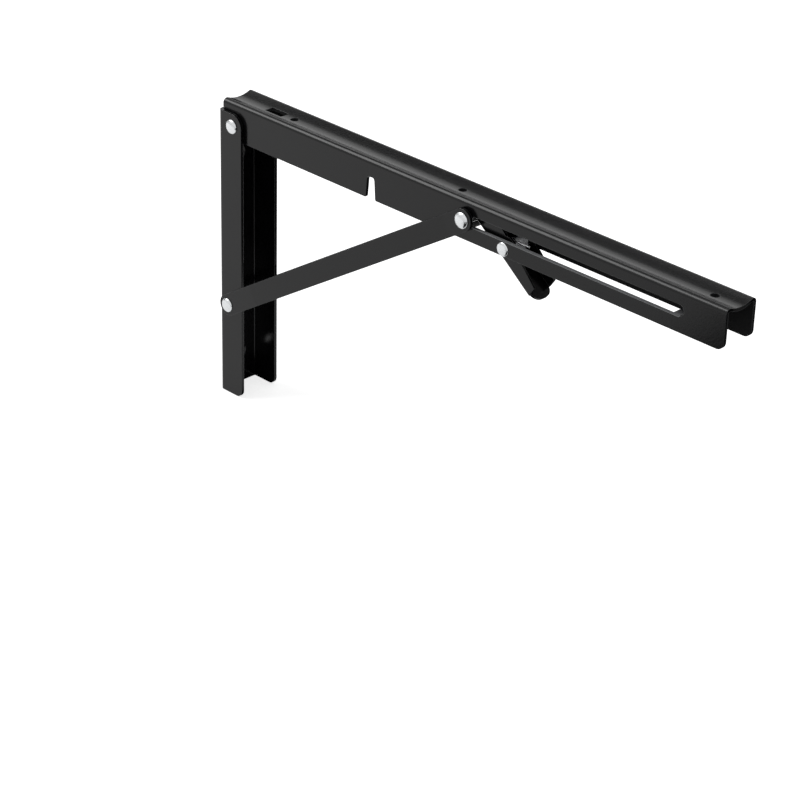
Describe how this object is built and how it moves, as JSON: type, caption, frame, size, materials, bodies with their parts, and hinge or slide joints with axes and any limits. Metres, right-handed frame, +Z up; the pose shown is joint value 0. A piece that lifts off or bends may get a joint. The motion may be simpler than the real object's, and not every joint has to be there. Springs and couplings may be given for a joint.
{
  "type": "folding shelf bracket",
  "caption": "Folding wall shelf bracket: black steel arm channel hinged to a wall channel, with brace bars, a sliding pin and a spring release lever.",
  "frame": {"origin": "on the wall plane, on the middle line of the wall channel's back face, 96.6 mm below its top end", "axes": "+X out from the wall along the arm, +Z up, +Y to the left seen from the room, across the bracket"},
  "size_m": [0.4, 0.0428, 0.2],
  "materials": {
    "coat": "satin black powder coat",
    "zinc": "bright zinc-plated steel",
    "nylon": "black nylon",
    "spring_wire": "bare spring steel wire"
  },
  "bodies": {
    "wall": {"wall_channel": "coat", "top_rivet": "zinc", "low_rivet": "zinc", "top_washer_right": "nylon", "top_washer_left": "nylon", "low_spacer_right": "nylon", "low_spacer_left": "nylon"},
    "arm": {"arm_channel": "coat", "lever_rivet": "zinc", "lever_sleeve": "zinc", "lever_spring": "spring_wire"},
    "brace": {"brace_bar_right": "coat", "brace_bar_left": "coat", "pin_head_right": "zinc", "pin_head_left": "zinc"},
    "slide_pin": {"pin_slider_right": "zinc", "pin_slider_left": "zinc"},
    "lever": {"release_lever": "coat"}
  },
  "joints": [
    {"name": "arm_fold", "type": "hinge", "parent": "wall", "child": "arm", "pos_m": [0.0125, 0, 0.0883], "axis": [0, 1, 0], "range_deg": [0, 90]},
    {"name": "brace_swing", "type": "hinge", "parent": "wall", "child": "brace", "pos_m": [0.0125, 0, -0.0318], "axis": [0, 1, 0], "range_deg": [0, 121.15]},
    {"name": "pin_slide", "type": "slide", "parent": "arm", "child": "slide_pin", "axis": [1, 0, 0], "range_m": [0, 0.15553]},
    {"name": "lever_press", "type": "hinge", "parent": "arm", "child": "lever", "pos_m": [0.2397, 0, 0.0828], "axis": [0, -1, 0], "range_deg": [0, 50], "stiffness_Nm_per_rad": 0.03, "springref_deg": -20.05, "deforming": ["lever_spring"]}
  ],
  "couplings": [
    {"joint": "brace_swing", "follows": "arm_fold", "ratio": 1.3461},
    {"joint": "pin_slide", "follows": "arm_fold", "m_per_rad": 0.099014}
  ]
}
